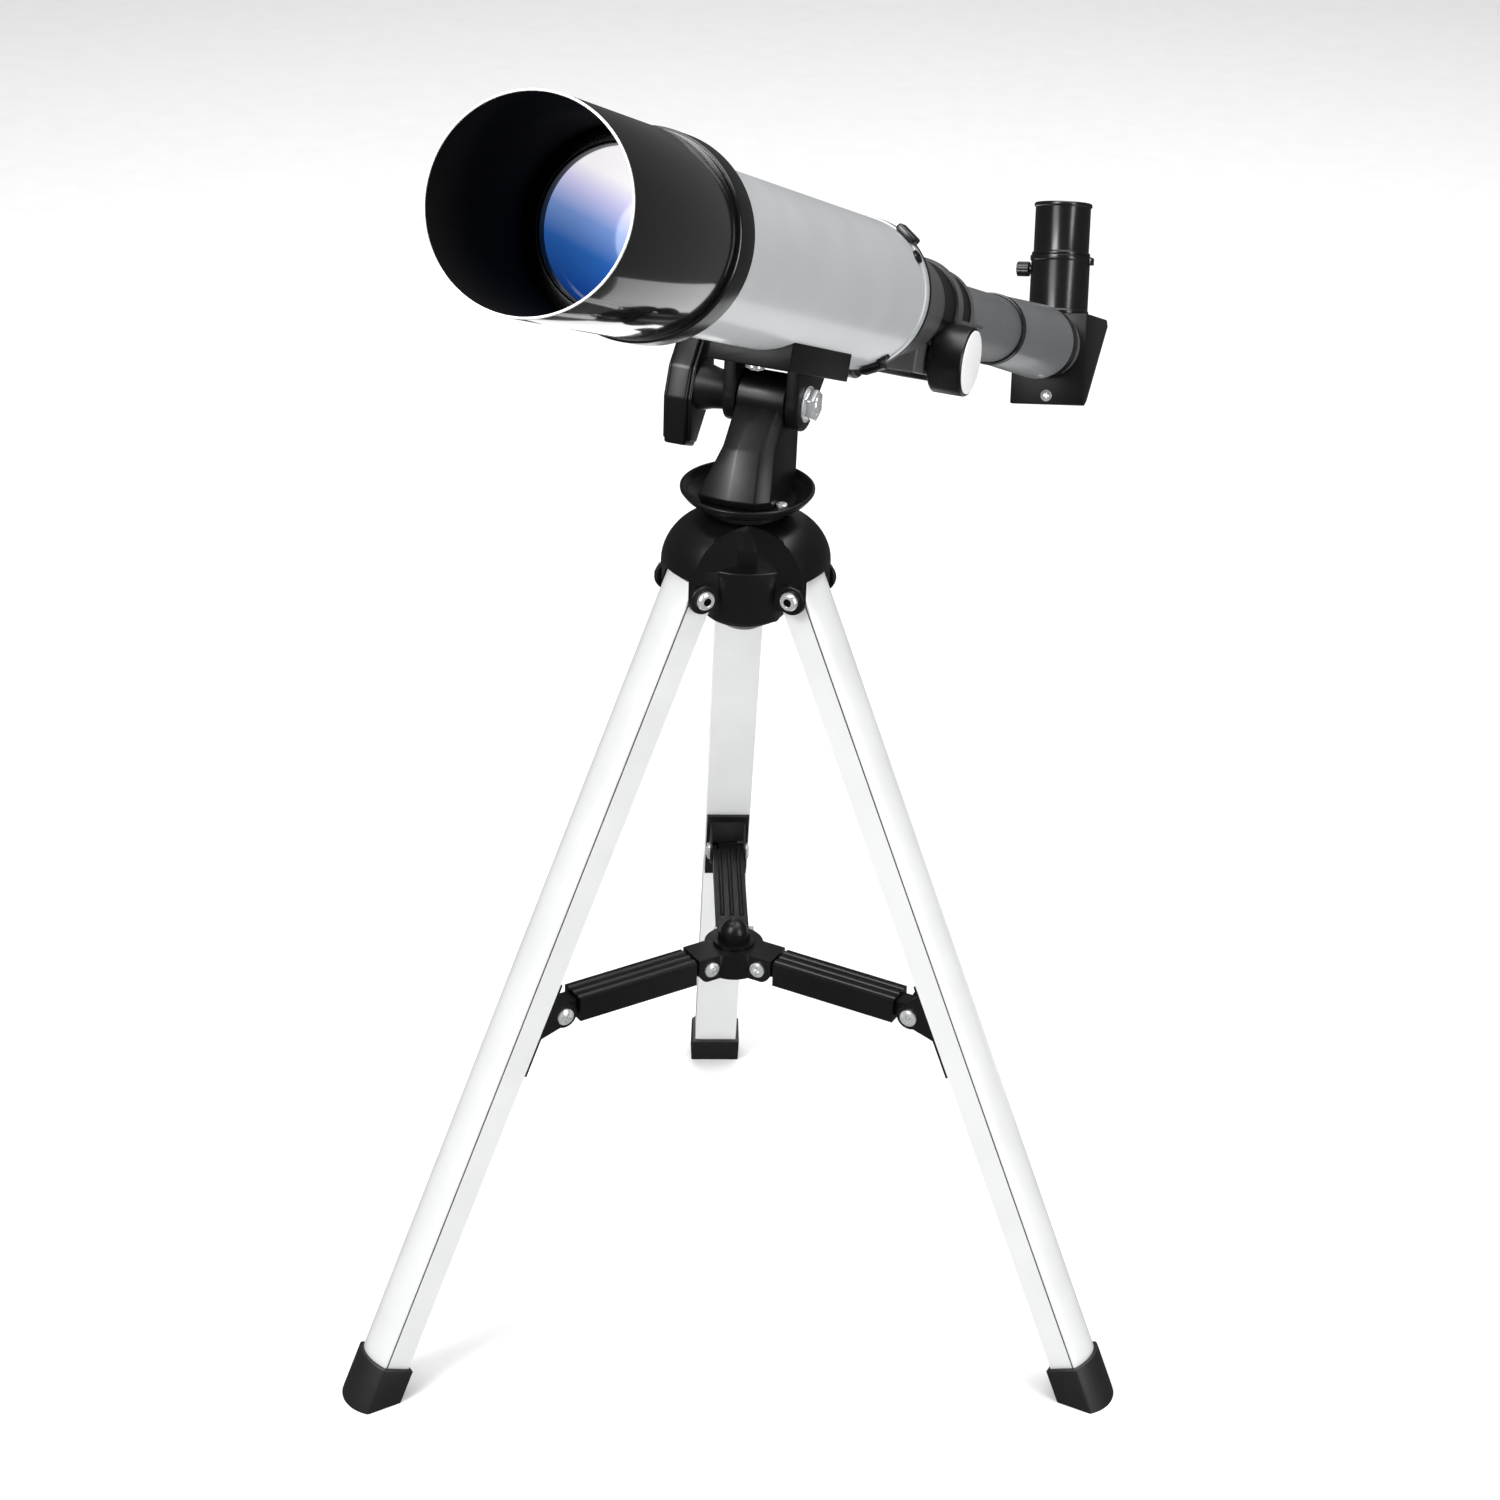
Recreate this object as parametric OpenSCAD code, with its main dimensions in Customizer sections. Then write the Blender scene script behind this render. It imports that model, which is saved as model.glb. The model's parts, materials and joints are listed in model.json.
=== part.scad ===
// Small refracting telescope on a folding table tripod.
// Millimetres, +Z up, feet on z = 0, origin on the floor under the middle of the whole object.

/* [Tripod] */
// Angle of each leg from vertical
splay = 23.5; // [22:0.1:25]
// Distance of the leg hinges from the tripod axis
hinge_r = 24.3; // [24:0.1:26]
// Height of the leg hinges
hinge_z = 302.9; // [300:0.1:310]
// Width of a leg tube
leg_w = 17.2; // [16:0.1:17.4]
// Length of a leg tube below its hinge
leg_length = 320; // [316:0.5:321]
// Distance of the brace's outer pivots from the tripod axis
brace_r = 75.8; // [75:0.1:77]
// Height of the brace pivots
brace_z = 145.8; // [144:0.1:148]

/* [Head] */
// Heading of the telescope, turned left of straight ahead
pan = 23.3; // [-180:0.1:180]
// Elevation of the telescope
tilt = 23.2; // [-20:0.1:45]
// Height of the tilt pivot
pivot_z = 361.9; // [360:0.1:364]
// Distance of the tilt pivot behind the pan axis
pivot_back = 18.5; // [17:0.1:20]
// Height of the telescope's axis above the tilt pivot
axis_rise = 42.7; // [42.6:0.1:44]

/* [Telescope] */
// Outer radius of the main tube
tube_r = 27.5; // [27.3:0.1:27.6]
// Outer radius of the dew hood
hood_r = 32; // [31.8:0.1:34]
// Front end of the dew hood
hood_front = 235; // [200:1:240]
// Outer radius of the focusing tube
draw_r = 14.2; // [14.1:0.05:14.25]
// Rotation of the star diagonal in the focusing tube
diag_roll = 7.5; // [-90:1:90]
// Radius of the eyepiece barrel
barrel_r = 12.25; // [12:0.05:12.3]

/* [Hidden] */

$fn = 64;
gap = 0.05;      // clearance between fitted faces of one body
run_gap = 0.06;  // radial running clearance of a pivot
far = 400;       // longer than anything it cuts

// where the tripod axis stands relative to the middle of the footprint
axis_x = -19.7;
axis_y = -109.2;

leg_azimuths = [210, 330, 90];
screw_sides = [1, -1, 1];  // side of each leg that its screw heads are on
leg_in = 6.9;       // leg centreline to its inner face
leg_out = 6.3;      // leg centreline to its outer crown
crown_r = 14.6;     // radius of the outer crown
wall = 1.2;         // leg tube wall
leg_end_r = 6.4;    // round top end of a leg
groove_n = 3.2;     // height of the groove along a leg's sides
hinge_shank = 2;    // radius of a leg hinge screw

hub_top = 326.7;
hub_bottom = 281;
core_r = 15.5;
dome_r = 30;
dome_edge_z = 309.7;
lobe_half = 11.3;
boss_half = 12.8;

// brace pivot seen from a leg: along the leg, and out from its centreline
pivot_l = (brace_r - hinge_r) * sin(splay) + (hinge_z - brace_z) * cos(splay);
pivot_n = (brace_r - hinge_r) * cos(splay) - (hinge_z - brace_z) * sin(splay);
arm_in_r = 13.2;
arm_length = brace_r - arm_in_r;
arm_half = 5.9;
arm_high = 5;
tongue_half = 3.5;
tongue_r = 3;
cheek_end = 5.3;
arm_shank = 1.5;

saddle_screw_s = [-30, 20];
tube_back = -78.3;
bore_r = draw_r + 0.1;
knob_s = -147;
knob_u = -17.2;
knob_r = 13.5;
knob_in = 15.1;  // inner face of a focus knob from the middle
pinion_teeth = 13;
tooth_module = 0.5;
pinion_pitch_r = pinion_teeth * tooth_module / 2;
tooth_pitch = PI * tooth_module;
holder_s = -392;
diag_half = 17;

black = [0.05, 0.05, 0.06];
dark_grey = [0.2, 0.21, 0.23];
metal_grey = [0.5, 0.51, 0.53];
silver = [0.8, 0.81, 0.82];
tube_silver = [0.74, 0.76, 0.78];
leg_silver = [0.88, 0.89, 0.9];
rubber_black = [0.09, 0.09, 0.09];
brass = [0.78, 0.64, 0.32];
glass = [0.72, 0.74, 0.86, 0.6];

// ---------------------------------------------------------------- places

// tripod axis: X right, Y back, Z up from the floor
module on_tripod() {
    translate([axis_x, axis_y, 0]) children();
}

// X out along leg i, Y across it, Z up from the floor
module beside_leg(i) {
    on_tripod() rotate([0, 0, leg_azimuths[i]]) children();
}

// hinge of leg i: X out of the leg's outer face, Y across it, Z up along it
module on_leg(i) {
    beside_leg(i) translate([hinge_r, 0, hinge_z]) rotate([0, -splay, 0]) children();
}

// inner pivot of brace arm i: X out along the arm, Y across it
module on_arm(i) {
    beside_leg(i) translate([arm_in_r, 0, brace_z]) children();
}

// pan axis: X forward, Y right, Z up from the floor
module on_yoke() {
    on_tripod() rotate([0, 0, -90 - pan]) children();
}

// telescope axis above the tilt pivot: X forward, Y right, Z up
module on_tube() {
    on_yoke() translate([-pivot_back, 0, pivot_z]) rotate([0, -tilt, 0])
        translate([0, 0, axis_rise]) children();
}

// telescope axis with the diagonal's own roll
module on_diagonal() {
    on_tube() rotate([diag_roll, 0, 0]) children();
}

// ---------------------------------------------------------------- helpers

// solid of revolution about X from [radius, position] points
module turned(points) {
    rotate([0, 90, 0]) rotate_extrude() polygon(points);
}

// cylinder along Y from y0 to y1
module across(r, y0, y1) {
    translate([0, y1, 0]) rotate([90, 0, 0]) cylinder(r = r, h = y1 - y0);
}

// outline in X and Z, extruded along Y over the given half-width
module slab(half) {
    rotate([90, 0, 0]) linear_extrude(2 * half, center = true) children();
}

// cross recess for a screw head, cut down from its top at the origin
module cross_recess(size, depth) {
    for (turn = [0, 90]) rotate([0, 0, turn])
        translate([-size, -size / 5, -depth]) cube([2 * size, size * 2 / 5, depth + 1]);
}

// round-headed screw along Z, head up from z = 0, shank down
module cross_screw(head_r, head_h, shank_r, shank_l) {
    difference() {
        union() {
            translate([0, 0, -shank_l]) cylinder(r = shank_r, h = shank_l + head_h / 2);
            intersection() {
                cylinder(r = head_r, h = head_h);
                translate([0, 0, head_h - head_r * 2]) sphere(r = head_r * 2);
            }
        }
        translate([0, 0, head_h]) cross_recess(head_r * 0.55, head_h * 0.6);
    }
}

module hex_nut(flat_r, high, hole_r) {
    difference() {
        cylinder(r = flat_r / cos(30), h = high, $fn = 6);
        translate([0, 0, -1]) cylinder(r = hole_r, h = high + 2);
    }
}

// ---------------------------------------------------------------- tripod hub

module dome_outline() {
    curve_r = hub_top - dome_edge_z;
    square([dome_r, dome_edge_z]);
    intersection() {
        translate([dome_r - curve_r, dome_edge_z]) circle(r = curve_r);
        translate([0, dome_edge_z]) square(far);
    }
    square([dome_r - curve_r, hub_top]);
}

// side of the lobe over one leg, before it is cut to the dome
module lobe_outline() {
    ear_r = 5.9;
    translate([0, hinge_z - ear_r]) square([hinge_r, far]);
    translate([hinge_r, hinge_z]) circle(r = ear_r);
    translate([hinge_r - ear_r, hinge_z]) square([2 * ear_r, far]);
}

module hub_core() {
    rotate_extrude() polygon([
        [0, hub_bottom], [10, hub_bottom], [14, 284], [core_r, 290],
        [core_r, 318], [13, hub_top], [0, hub_top]
    ]);
}

module hub() color(black) {
    nut_seat = 288;
    on_tripod() difference() {
        union() {
            hub_core();
            intersection() {
                rotate_extrude() dome_outline();
                for (azimuth = leg_azimuths) rotate([0, 0, azimuth]) slab(lobe_half) lobe_outline();
            }
            for (azimuth = leg_azimuths) rotate([0, 0, azimuth])
                translate([hinge_r, 0, hinge_z]) across(5.9, -boss_half, boss_half);
        }
        for (azimuth = leg_azimuths) rotate([0, 0, azimuth]) {
            translate([core_r + 1, -leg_w / 2 - 0.35, 0])
                cube([far, leg_w + 0.7, dome_edge_z]);
            translate([hinge_r, 0, hinge_z]) across(hinge_shank + gap, -far, far);
        }
        translate([0, 0, hub_bottom - 1]) cylinder(r = 8, h = nut_seat - hub_bottom + 1);
        translate([0, 0, hub_bottom]) cylinder(r = 3 + gap, h = far);
    }
}

module hinge_screws() color(silver) {
    for (i = [0:2]) beside_leg(i) translate([hinge_r, 0, hinge_z])
        rotate([-90 * screw_sides[i], 0, 0]) translate([0, 0, boss_half + gap])
            cross_screw(3.1, 1.9, hinge_shank, 2 * boss_half + 2.8);
}

module hinge_nuts() color(silver) {
    for (i = [0:2]) beside_leg(i) translate([hinge_r, 0, hinge_z])
        rotate([90 * screw_sides[i], 0, 0]) translate([0, 0, boss_half + gap])
            hex_nut(3.4, 2.4, hinge_shank + gap);
}

module pan_bolt() color(silver) on_tripod() {
    translate([0, 0, 284]) cylinder(r = 5.8, h = 3.9, $fn = 6);
    translate([0, 0, 287]) cylinder(r = 3, h = 56);
}

module friction_washer() color(rubber_black) on_tripod() {
    translate([0, 0, hub_top + gap]) difference() {
        cylinder(r = 12.5, h = 0.8);
        translate([0, 0, -1]) cylinder(r = 3.2, h = 3);
    }
}

// ---------------------------------------------------------------- legs

// leg tube's cross-section: X out, Y across, taken in by the given amount
module leg_section(inset) {
    intersection() {
        translate([-leg_in + inset, -leg_w / 2 + inset])
            square([leg_in + leg_out - 2 * inset, leg_w - 2 * inset]);
        translate([leg_out - crown_r, 0]) circle(r = crown_r - inset);
    }
}

// rounds a leg's top end about its hinge
module leg_end_round() {
    across(leg_end_r, -far, far);
    translate([-far, -far, -2 * far]) cube([2 * far, 2 * far, 2 * far]);
}

// the opening that the brace arm passes as the leg folds
module arm_window(margin) {
    wide = arm_half + 0.4 + margin;
    narrow = tongue_half + 0.4 + margin;
    translate([-leg_in - 4, -wide, -pivot_l - 6.4 - margin])
        cube([5.4, 2 * wide, 15.4 + 2 * margin]);
    translate([-leg_in - 4, -narrow, -pivot_l - 19.4 - margin])
        cube([5.4, 2 * narrow, 19 + 2 * margin]);
}

module leg_tube(i) color(leg_silver) on_leg(i) difference() {
    intersection() {
        translate([0, 0, -leg_length]) linear_extrude(leg_length + leg_end_r) leg_section(0);
        leg_end_round();
    }
    translate([0, 0, -leg_length - 1]) linear_extrude(leg_length + 20) leg_section(wall);
    for (side = [-1, 1]) translate([groove_n, side * leg_w / 2, -leg_length / 2 - 5])
        cube([0.7, 0.8, leg_length - 10], center = true);
    across(hinge_shank + run_gap, -far, far);
    arm_window(0.2);
}

module leg_plug(i) color(black) on_leg(i) difference() {
    intersection() {
        translate([0, 0, -26]) linear_extrude(26 + leg_end_r) leg_section(wall + gap);
        leg_end_round();
    }
    across(hinge_shank + run_gap, -far, far);
}

module foot(i) color(rubber_black) {
    sole = 150;
    beside_leg(i) difference() {
        intersection() {
            translate([hinge_r, 0, hinge_z]) rotate([0, -splay, 0])
                translate([0, 0, -leg_length - 20]) linear_extrude(27) leg_section(-1.5);
            slab(20) polygon([
                [sole, 0], [sole + 12.6, 0], [sole + 14.2, 2], [sole + 14.2, 40],
                [sole - 20, 40], [sole - 3.4, 2.6]
            ]);
        }
        translate([hinge_r, 0, hinge_z]) rotate([0, -splay, 0])
            translate([0, 0, -leg_length - gap]) linear_extrude(far) leg_section(-gap);
    }
}

module bracket(i) color(black) {
    plate_n = -leg_in - gap;
    ear_r = 4.8;
    on_leg(i) difference() {
        union() {
            translate([plate_n - 1.2, -8.2, -pivot_l - 25]) cube([1.2, 16.4, 37.4]);
            for (side = [-1, 1]) translate([0, side * 6.55, 0]) slab(0.4) {
                translate([pivot_n, -pivot_l]) circle(r = ear_r);
                polygon([
                    [plate_n, -pivot_l + 9], [plate_n, -pivot_l - 12],
                    [pivot_n, -pivot_l - ear_r], [pivot_n, -pivot_l + ear_r]
                ]);
            }
        }
        arm_window(0);
        translate([pivot_n, 0, -pivot_l]) across(1.6 + gap, -far, far);
    }
}

module bracket_screws(i) color(silver) {
    on_leg(i) translate([pivot_n, 0, -pivot_l]) for (side = [-1, 1])
        rotate([90 * side, 0, 0]) translate([0, 0, 6.95 + gap]) cross_screw(3.2, 1.6, 1.6, 0.8);
}

// ---------------------------------------------------------------- brace

// cheek that carries an arm, in X and Z about the arm's inner pivot
module cheek_outline() {
    intersection() {
        translate([-12, -arm_high]) square([12 + cheek_end, 2 * arm_high]);
        union() {
            circle(r = cheek_end);
            translate([-far, -far]) square([far, 2 * far]);
            translate([-far, 0]) square([2 * far, far]);
        }
    }
}

module brace_hub() color(black) {
    on_tripod() difference() {
        translate([0, 0, brace_z - arm_high]) cylinder(r = 11, h = 2 * arm_high);
        translate([0, 0, brace_z - far]) cylinder(r = 2.5 + gap, h = 2 * far);
        for (azimuth = leg_azimuths) rotate([0, 0, azimuth])
            translate([arm_in_r - 4, -tongue_half - 0.3, brace_z - far])
                cube([far, 2 * tongue_half + 0.6, far + 3.6]);
    }
    for (i = [0:2]) on_arm(i) difference() {
        slab(arm_half) cheek_outline();
        translate([-4, -tongue_half - 0.3, -far]) cube([far, 2 * tongue_half + 0.6, far + 3.6]);
        translate([-arm_in_r, 0, 0]) cylinder(r = 10.5, h = far, center = true);
        across(arm_shank + gap, -far, far);
    }
}

module brace_screws() color(silver) {
    for (i = [0:2]) on_arm(i) rotate([-90 * screw_sides[i], 0, 0])
        translate([0, 0, arm_half + gap]) cross_screw(2.9, 1.5, arm_shank, 2 * arm_half + 2.4);
}

module brace_nuts() color(silver) {
    for (i = [0:2]) on_arm(i) rotate([90 * screw_sides[i], 0, 0])
        translate([0, 0, arm_half + gap]) hex_nut(2.7, 2, arm_shank + gap);
}

module brace_bolt() color(silver) on_tripod() {
    translate([0, 0, brace_z - arm_high - 2.5]) cylinder(r = 4.6, h = 2.45, $fn = 6);
    translate([0, 0, brace_z - arm_high - 1]) cylinder(r = 2.5, h = 15);
}

module dome_nut() color(black) on_tripod() translate([0, 0, brace_z + arm_high + gap]) {
    difference() {
        union() {
            cylinder(r = 7.6, h = 1.2);
            cylinder(r = 6, h = 4.6, $fn = 6);
            intersection() {
                cylinder(r = 5.1, h = 9.4);
                translate([0, 0, 4.2]) sphere(r = 5.2);
            }
        }
        translate([0, 0, -1]) cylinder(r = 2.5 + gap, h = 5.6);
    }
}

module arm(i) color(black) on_arm(i) difference() {
    body_start = 6.3;
    body_end = arm_length - 7;
    union() {
        translate([body_start, -arm_half, -arm_high])
            cube([body_end - body_start, 2 * arm_half, 2 * arm_high - 0.6]);
        for (rib = [-1, 0, 1]) translate([body_start, rib * 3.6, arm_high - 0.9])
            rotate([0, 90, 0]) cylinder(r = 0.9, h = body_end - body_start);
        across(tongue_r, -tongue_half, tongue_half);
        translate([0, -tongue_half, -tongue_r]) cube([body_start + 1, 2 * tongue_half, 2 * tongue_r]);
        translate([arm_length, 0, 0]) across(tongue_r, -tongue_half, tongue_half);
        translate([body_end - 1, -tongue_half, -tongue_r])
            cube([arm_length - body_end + 1, 2 * tongue_half, 2 * tongue_r]);
    }
    translate([body_start + 5, -arm_half + 1.4, -arm_high - 1])
        cube([body_end - body_start - 10, 2 * arm_half - 2.8, 2 * arm_high - 1.4]);
    across(arm_shank + run_gap, -far, far);
    translate([arm_length, 0, 0]) across(1.7, -far, far);
}

// ---------------------------------------------------------------- yoke

// post seen from the side: X forward, Z up
module post_side() {
    polygon([
        [13, 331.5], [13.2, 335.5], [1, 350], [-11.5, 367],
        [-pivot_back - 9, 364], [-pivot_back - 8, 354], [-15.5, 331.5]
    ]);
    translate([-pivot_back, pivot_z]) circle(r = 9.3);
}

// post seen from the front: Y across, Z up
module post_front() {
    polygon([
        [-11.5, 331.5], [11.5, 331.5], [11.5, 336], [8.8, 349.5], [8.8, 380],
        [-8.8, 380], [-8.8, 349.5], [-11.5, 336]
    ]);
}

module yoke() color(black) on_yoke() difference() {
    union() {
        rotate_extrude() polygon([
            [0, 327.6], [14.9, 327.6], [14.9, 329.4], [21.8, 332.8], [23.5, 335], [23.5, 336],
            [22.3, 336], [20.6, 333.8], [17, 332], [0, 332]
        ]);
        intersection() {
            slab(20) post_side();
            rotate([90, 0, 90]) linear_extrude(80, center = true) post_front();
        }
    }
    cylinder(r = 3 + run_gap, h = 344);
    translate([-pivot_back, 0, pivot_z]) across(3 + run_gap, -far, far);
}

module bowl_screw() color(silver) {
    on_yoke() translate([3, 13.9, 332 + gap]) cross_screw(2, 1.3, 1.1, 0);
}

// ---------------------------------------------------------------- saddle

module saddle() color(black) on_tube() difference() {
    ear_r = 9.8;
    union() {
        translate([-38, -15.2, -32.9]) cube([65.7, 30.4, 14]);
        for (side = [-1, 1]) translate([0, side * 11.6, 0]) slab(2.4) {
            translate([0, -axis_rise]) circle(r = ear_r);
            polygon([
                [12, -32], [9.8, -axis_rise], [-9.8, -axis_rise], [-15, -32]
            ]);
        }
    }
    translate([-far, 0, 0]) rotate([0, 90, 0]) cylinder(r = tube_r + gap, h = 2 * far);
    translate([0, 0, -axis_rise]) across(3 + gap, -far, far);
    saddle_screw_holes();
}

module saddle_screw_holes() {
    for (s = saddle_screw_s) translate([s, 0, -far]) cylinder(r = 2 + gap, h = far);
}

module saddle_screws() color(silver) {
    for (s = saddle_screw_s) on_tube() translate([s, 0, -32.9 - gap]) rotate([180, 0, 0])
        cross_screw(3.4, 1.6, 2, 9);
}

module tilt_bolt() color(silver) on_tube() translate([0, 0, -axis_rise]) {
    translate([0, 14 + gap, 0]) rotate([-90, 0, 0]) cylinder(r = 5.8, h = 4, $fn = 6);
    across(3, -31, 15);
}

// eight-sided paddle on the tilt bolt, X forward, Z along it
module paddle_outline(inset) {
    polygon([
        for (side = [1, -1], point = [[5, 19.5], [11, 5.5], [11, -5.5], [5, -19.5]])
            [side * (point[0] - inset), side * (point[1] - sign(point[1]) * inset)]
    ]);
}

module wing_knob() color(black) on_tube() translate([0, 0, -axis_rise]) difference() {
    union() {
        across(6.6, -26, -14.35);
        translate([0, -30, 0]) slab(4) paddle_outline(0);
        translate([0, -30, 0]) slab(5.2) paddle_outline(1.6);
    }
    across(3 + run_gap, -31.5, 0);
}

// ---------------------------------------------------------------- optical tube

module hood() color(black) on_tube() turned([
    [30.3, 147.6], [hood_r - 0.5, 147.6], [hood_r, 149.2], [hood_r, hood_front - 0.8],
    [hood_r - 0.8, hood_front], [hood_r - 1.6, hood_front], [hood_r - 1.7, 168], [30.3, 166]
]);

module lens_cell() color(black) on_tube() turned([
    [tube_r + gap, 134], [32.4, 134], [33, 134.6], [33, 146.4], [32.4, 147], [30.2, 147],
    [30.2, 165.5], [26, 165.5], [26, 150], [23.6, 150], [23.6, 141], [tube_r + gap, 141]
]);

module lens_ring() color(black) on_tube() turned([
    [24.9, 162.2], [25.9, 160.6], [25.9, 165], [25.3, 165]
]);

module crown_lens() color(glass) {
    curve_r = 130;
    on_tube() rotate([0, 90, 0]) intersection() {
        translate([0, 0, 155.6]) cylinder(r = 25.85, h = 20);
        translate([0, 0, 163 - curve_r]) sphere(r = curve_r, $fn = 300);
    }
}

module flint_lens() color(glass) {
    curve_r = 260;
    on_tube() rotate([0, 90, 0]) difference() {
        translate([0, 0, 150.1]) cylinder(r = 25.85, h = 5.3);
        translate([0, 0, 151.4 - curve_r]) sphere(r = curve_r, $fn = 300);
    }
}

module main_tube() color(tube_silver) on_tube() difference() {
    turned([
        [tube_r - 1.2, tube_back], [tube_r + 0.3, tube_back], [tube_r + 0.6, tube_back + 0.5],
        [tube_r + 0.6, tube_back + 4], [tube_r, tube_back + 4.4], [tube_r, 140.9], [tube_r - 1.2, 140.9]
    ]);
    saddle_screw_holes();
}

module baffle() color(black) on_tube() turned([
    [19, 30], [tube_r - 1.25, 30], [tube_r - 1.25, 36], [tube_r - 2.2, 36], [tube_r - 2.2, 31.2], [19, 31.2]
]);

module rim_screws() color(black) on_tube() {
    for (angle = [35, -53, 155]) rotate([angle, 0, 0])
        translate([tube_back + 7, tube_r + gap, 0]) rotate([-90, 0, 0]) cross_screw(2.6, 1.6, 1.5, 0);
}

// ---------------------------------------------------------------- focuser

module focuser() color(black) on_tube() difference() {
    union() {
        turned([
            [0, -60], [tube_r - 1.25, -60], [tube_r - 1.25, tube_back - gap], [28, tube_back - gap],
            [28, -81], [26, -82.5], [20.2, -127], [19.2, -128], [19.2, -148], [20, -149],
            [20, -155], [17.6, -157], [17.2, -175], [17.8, -176], [17.8, -180], [0, -180]
        ]);
        translate([-200, -13.5, -25]) cube([75, 27, 23]);
    }
    turned([[0, far], [bore_r, far], [bore_r, -far], [0, -far]]);
    translate([-far, -2.9, -15.2]) cube([far, 5.8, 10]);
    translate([knob_s, 0, knob_u]) {
        across(pinion_pitch_r + 0.9, -3.2, 3.2);
        across(1.5 + run_gap, -far, far);
        for (side = [0, 180]) rotate([0, 0, side]) across(knob_r + 0.6, knob_in - 0.35, far);
    }
}

module pinion_cover() color(dark_grey) on_tube() difference() {
    translate([-196, -11.5, -26.6]) cube([66, 23, 1.55]);
    for (s = [-190, -136], a = [-8, 8]) translate([s, a, -27]) cylinder(r = 1.4, h = 1);
}

// straight-sided teeth, thinned for backlash
module pinion_outline() {
    circle(r = pinion_pitch_r - 0.55);
    for (tooth = [0:pinion_teeth - 1]) rotate([0, 0, (tooth + 0.5) * 360 / pinion_teeth])
        polygon([[0, -0.36], [pinion_pitch_r + 0.3, -0.16], [pinion_pitch_r + 0.3, 0.16], [0, 0.36]]);
}

module pinion() color(brass) on_tube() translate([knob_s, 0, knob_u]) {
    across(1.5, -28, 28);
    slab(2.4) rotate([0, 0, 90]) pinion_outline();
}

module focus_knobs() color(black) {
    for (side = [0, 180]) on_tube() translate([knob_s, 0, knob_u]) rotate([0, 0, side]) difference() {
        union() {
            across(knob_r - 0.5, knob_in, 28.9);
            across(knob_r, knob_in + 0.8, 28.3);
        }
        across(12.1, 28.1, 30);
        across(1.5 + gap, 10, 30);
    }
}

module knob_discs() color(silver) {
    for (side = [0, 180]) on_tube() translate([knob_s, 0, knob_u]) rotate([0, 0, side])
        across(12, 28.1 + gap, 29.3);
}

module drawtube() color(metal_grey) on_tube() difference() {
    turned([[draw_r - 1.3, -75], [draw_r, -75], [draw_r, -302], [draw_r - 1.3, -302]]);
    translate([-187, -2.55, -20]) cube([76, 5.1, 12]);
}

// toothed strip set into the underside of the focusing tube
module rack() color(brass) on_tube() {
    pitch_u = knob_u + pinion_pitch_r;
    root_u = pitch_u + 0.55;
    translate([-186.5, -2.5, root_u]) cube([75, 5, 0.55]);
    slab(2.5) for (tooth = [-25:21]) translate([knob_s + tooth * tooth_pitch, 0])
        polygon([
            [-0.36, root_u + 0.1], [-0.16, pitch_u - 0.3],
            [0.16, pitch_u - 0.3], [0.36, root_u + 0.1]
        ]);
}

module draw_ring() color(black) on_tube() turned([
    [draw_r + gap, -270.5], [15, -270.5], [15.2, -271], [15.2, -275], [15, -275.5], [draw_r + gap, -275.5]
]);

module end_sleeve() color(metal_grey) on_tube() turned([
    [draw_r + gap, -275.6], [14.9, -275.6], [16.6, -354], [16.6, -356],
    [barrel_r + gap, -356], [barrel_r + gap, -302.1], [draw_r + gap, -302.1]
]);

module draw_collar() color(black) on_tube() turned([
    [barrel_r + gap, -356.1], [16.2, -356.1], [16.2, -366], [15.6, -368], [barrel_r + gap, -368]
]);

// ---------------------------------------------------------------- diagonal and eyepiece

// housing seen from the side: X forward, Z up
module diagonal_outline(inset) {
    polygon([
        [-378 - inset, 14.5 - inset], [-419 + inset, 14.5 - inset], [-421.5 + 1.4 * inset, 11.5],
        [-386, -25 + 1.4 * inset], [-382, -27 + inset], [-378 - inset, -27 + inset]
    ]);
}

module diagonal() color(black) on_diagonal() difference() {
    union() {
        slab(diag_half) diagonal_outline(0);
        turned([
            [0, -325], [barrel_r - run_gap, -325], [barrel_r - run_gap, -368.3],
            [14.4, -368.3], [14.4, -379], [0, -379]
        ]);
    }
    turned([[0, -320], [10.2, -320], [10.2, -381], [0, -381]]);
    slab(12.2) diagonal_cavity();
    translate([holder_s, 0, 0]) cylinder(r = 10.2, h = far);
    translate([-378, 0, -23]) rotate([0, -90, 0]) cylinder(r = 1.2 + gap, h = 3);
}

// room for the prism
module diagonal_cavity() {
    polygon([[-379.9, 12.1], [-404.4, 12.1], [-379.9, -12.4]]);
}

module prism() color(glass) on_diagonal() slab(12.1) {
    polygon([[-380, 12], [-404, 12], [-380, -12]]);
}

module diagonal_screw() color(silver) {
    on_diagonal() translate([-378 + gap, 0, -23]) rotate([0, 90, 0]) cross_screw(2.6, 1.4, 1.2, 2.6);
}

module eyepiece_holder() color(black) on_diagonal() translate([holder_s, 0, 0]) difference() {
    rotate_extrude() polygon([
        [10.2, 14.55], [13.8, 14.55], [13.8, 16], [13.4, 16.6], [13.4, 38.6], [13.9, 39], [13.9, 41],
        [barrel_r + gap, 41], [barrel_r + gap, 17], [10.2, 17]
    ]);
    translate([0, 0, 35]) across(1.5 + run_gap, -far, 0);
}

module thumbscrew() color(black) on_diagonal() translate([holder_s, 0, 35]) {
    across(1.5, -17, -barrel_r - 0.3);
    difference() {
        across(3.4, -20, -14.2);
        for (rib = [0:11]) rotate([0, rib * 30, 0]) translate([3.7, 0, 0]) across(0.6, -21, -14);
    }
}

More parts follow.
